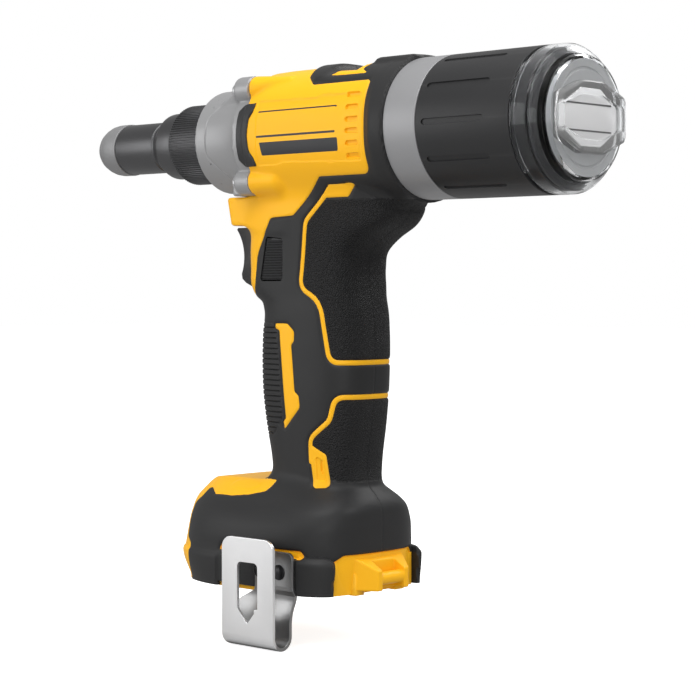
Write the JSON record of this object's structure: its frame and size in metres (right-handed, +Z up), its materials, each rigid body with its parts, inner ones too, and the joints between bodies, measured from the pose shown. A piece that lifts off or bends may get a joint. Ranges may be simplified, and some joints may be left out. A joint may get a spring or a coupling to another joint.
{
  "type": "battery rivet tool",
  "caption": "Pistol-grip battery rivet tool: ribbed nose, barrel body with motor and ball screw, see-through mandrel collector, rubber grip, battery foot and belt hook.",
  "frame": {"origin": "centre of the nosepiece's mouth, on the barrel's axis", "axes": "+X forward out of the nose, +Y to the tool's left, +Z up"},
  "size_m": [0.31, 0.0893, 0.2649],
  "materials": {
    "nosepiece": "satin",
    "nose_housing": "satin black oxide",
    "lock_ring": "ribbed black oxide",
    "gear_case": "fine cast, satin",
    "case_screws": "zinc",
    "left_trim": "matt",
    "right_trim": "matt",
    "left_housing": "fine spark grain",
    "right_housing": "fine spark grain",
    "left_overmould": "matt, grained",
    "right_overmould": "matt, grained",
    "housing_screws": "black zinc",
    "foot_cover": "fine grain",
    "work_light": "clear",
    "rail_frame": "fine grain",
    "hook_inserts": "turned",
    "belt_hook": "bright satin",
    "hook_screw": "black zinc",
    "trigger": "matt",
    "trigger_switch": "plain",
    "lock_button": "ribbed",
    "rear_ring": "satin",
    "collection_barrel": "fine grain",
    "end_cap": "clear, polished",
    "cap_plate": "satin",
    "cap_seal": "smooth",
    "jaw_case": "ground",
    "jaw_1": "hardened",
    "jaw_2": "hardened",
    "jaw_3": "hardened",
    "jaw_pusher": "turned",
    "jaw_spring": "spring wire",
    "ball_screw": "ground",
    "ball_nut": "hardened",
    "thrust_bearing": "ground",
    "nut_bearing": "ground",
    "planet_carrier": "turned",
    "planet_pins": "ground",
    "planet_1": "hobbed",
    "planet_2": "hobbed",
    "planet_3": "hobbed",
    "ring_gear": "sintered",
    "rotor_shaft": "ground",
    "rotor_core": "laminated",
    "stator_core": "laminated",
    "stator_windings": "enamelled wire",
    "motor_plate": "cast",
    "front_bearing": "ground",
    "rear_bearing": "ground",
    "bearing_holder": "moulded",
    "sensor_board": "solder mask",
    "fan": "moulded",
    "guide_tube": "drawn",
    "motor_leads": "insulation",
    "switch_leads": "insulation",
    "controller": "potted",
    "terminal_block": "moulded",
    "terminal_blades": "plated"
  },
  "bodies": {
    "tool": {"nosepiece": "nosepiece", "nose_housing": "nose_housing", "gear_case": "gear_case", "case_screws": "case_screws", "left_trim": "left_trim", "right_trim": "right_trim", "left_housing": "left_housing", "right_housing": "right_housing", "left_overmould": "left_overmould", "right_overmould": "right_overmould", "housing_screws": "housing_screws", "foot_cover": "foot_cover", "work_light": "work_light", "rail_frame": "rail_frame", "hook_inserts": "hook_inserts", "belt_hook": "belt_hook", "hook_screw": "hook_screw", "trigger_switch": "trigger_switch", "rear_ring": "rear_ring", "thrust_bearing": "thrust_bearing", "nut_bearing": "nut_bearing", "ring_gear": "ring_gear", "stator_core": "stator_core", "stator_windings": "stator_windings", "motor_plate": "motor_plate", "front_bearing": "front_bearing", "rear_bearing": "rear_bearing", "bearing_holder": "bearing_holder", "sensor_board": "sensor_board", "guide_tube": "guide_tube", "motor_leads": "motor_leads", "switch_leads": "switch_leads", "controller": "controller", "terminal_block": "terminal_block", "terminal_blades": "terminal_blades"},
    "lock_ring_body": {"lock_ring": "lock_ring"},
    "puller": {"jaw_case": "jaw_case", "ball_screw": "ball_screw", "jaw_spring": "jaw_spring"},
    "jaw_a": {"jaw_1": "jaw_1"},
    "jaw_b": {"jaw_2": "jaw_2"},
    "jaw_c": {"jaw_3": "jaw_3"},
    "pusher": {"jaw_pusher": "jaw_pusher"},
    "nut": {"ball_nut": "ball_nut", "planet_carrier": "planet_carrier", "planet_pins": "planet_pins"},
    "planet_a": {"planet_1": "planet_1"},
    "planet_b": {"planet_2": "planet_2"},
    "planet_c": {"planet_3": "planet_3"},
    "rotor": {"rotor_shaft": "rotor_shaft", "rotor_core": "rotor_core", "fan": "fan"},
    "trigger_body": {"trigger": "trigger"},
    "lock_body": {"lock_button": "lock_button"},
    "collector": {"collection_barrel": "collection_barrel"},
    "cap": {"end_cap": "end_cap", "cap_plate": "cap_plate", "cap_seal": "cap_seal"}
  },
  "joints": [
    {"name": "rotor_spin", "type": "hinge", "parent": "tool", "child": "rotor", "pos_m": [-0.176, 0, 0], "axis": [1, 0, 0], "range_deg": [0, 7075.4]},
    {"name": "nut_spin", "type": "hinge", "parent": "tool", "child": "nut", "pos_m": [-0.12, 0, 0], "axis": [1, 0, 0], "range_deg": [0, 2252]},
    {"name": "screw_slide", "type": "slide", "parent": "tool", "child": "puller", "axis": [-1, 0, 0], "range_m": [0, 0.025]},
    {"name": "planet_a_spin", "type": "hinge", "parent": "nut", "child": "planet_a", "pos_m": [-0.145, 0, 0.01485], "axis": [1, 0, 0], "range_deg": [-8442.5, 0]},
    {"name": "planet_b_spin", "type": "hinge", "parent": "nut", "child": "planet_b", "pos_m": [-0.145, -0.01286, -0.00743], "axis": [1, 0, 0], "range_deg": [-8442.5, 0]},
    {"name": "planet_c_spin", "type": "hinge", "parent": "nut", "child": "planet_c", "pos_m": [-0.145, 0.01286, -0.00743], "axis": [1, 0, 0], "range_deg": [-8442.5, 0]},
    {"name": "jaw_a_slide", "type": "slide", "parent": "puller", "child": "jaw_a", "axis": [-0.9716, 0, 0.2368], "range_m": [0, 0.0024], "stiffness_N_per_m": 1500, "springref_m": -0.002},
    {"name": "jaw_b_slide", "type": "slide", "parent": "puller", "child": "jaw_b", "axis": [-0.9716, -0.2051, -0.1184], "range_m": [0, 0.0024]},
    {"name": "jaw_c_slide", "type": "slide", "parent": "puller", "child": "jaw_c", "axis": [-0.9716, 0.2051, -0.1184], "range_m": [0, 0.0024]},
    {"name": "pusher_slide", "type": "slide", "parent": "puller", "child": "pusher", "axis": [-1, 0, 0], "range_m": [0, 0.00234], "deforming": ["jaw_spring"]},
    {"name": "trigger_slide", "type": "slide", "parent": "tool", "child": "trigger_body", "axis": [-1, 0, 0], "range_m": [0, 0.007], "stiffness_N_per_m": 600, "springref_m": -0.004},
    {"name": "lock_slide", "type": "slide", "parent": "tool", "child": "lock_body", "axis": [0, 1, 0], "range_m": [-0.0024, 0.0024]},
    {"name": "lock_ring_turn", "type": "hinge", "parent": "tool", "child": "lock_ring_body", "pos_m": [-0.079, 0, 0], "axis": [1, 0, 0], "range_deg": [0, 90]},
    {"name": "collector_twist", "type": "hinge", "parent": "tool", "child": "collector", "pos_m": [-0.2425, 0, 0], "axis": [1, 0, 0], "range_deg": [0, 45]},
    {"name": "cap_pull", "type": "slide", "parent": "collector", "child": "cap", "axis": [-1, 0, 0], "range_m": [0, 0.03]}
  ],
  "couplings": [
    {"joint": "nut_spin", "follows": "screw_slide", "rad_per_m": 1570.8},
    {"joint": "rotor_spin", "follows": "screw_slide", "rad_per_m": 4936.8},
    {"joint": "planet_a_spin", "follows": "screw_slide", "rad_per_m": -5890.5},
    {"joint": "planet_b_spin", "follows": "screw_slide", "rad_per_m": -5890.5},
    {"joint": "planet_c_spin", "follows": "screw_slide", "rad_per_m": -5890.5},
    {"joint": "jaw_b_slide", "follows": "jaw_a_slide", "ratio": 1},
    {"joint": "jaw_c_slide", "follows": "jaw_a_slide", "ratio": 1},
    {"joint": "pusher_slide", "follows": "jaw_a_slide", "ratio": 0.97155}
  ]
}
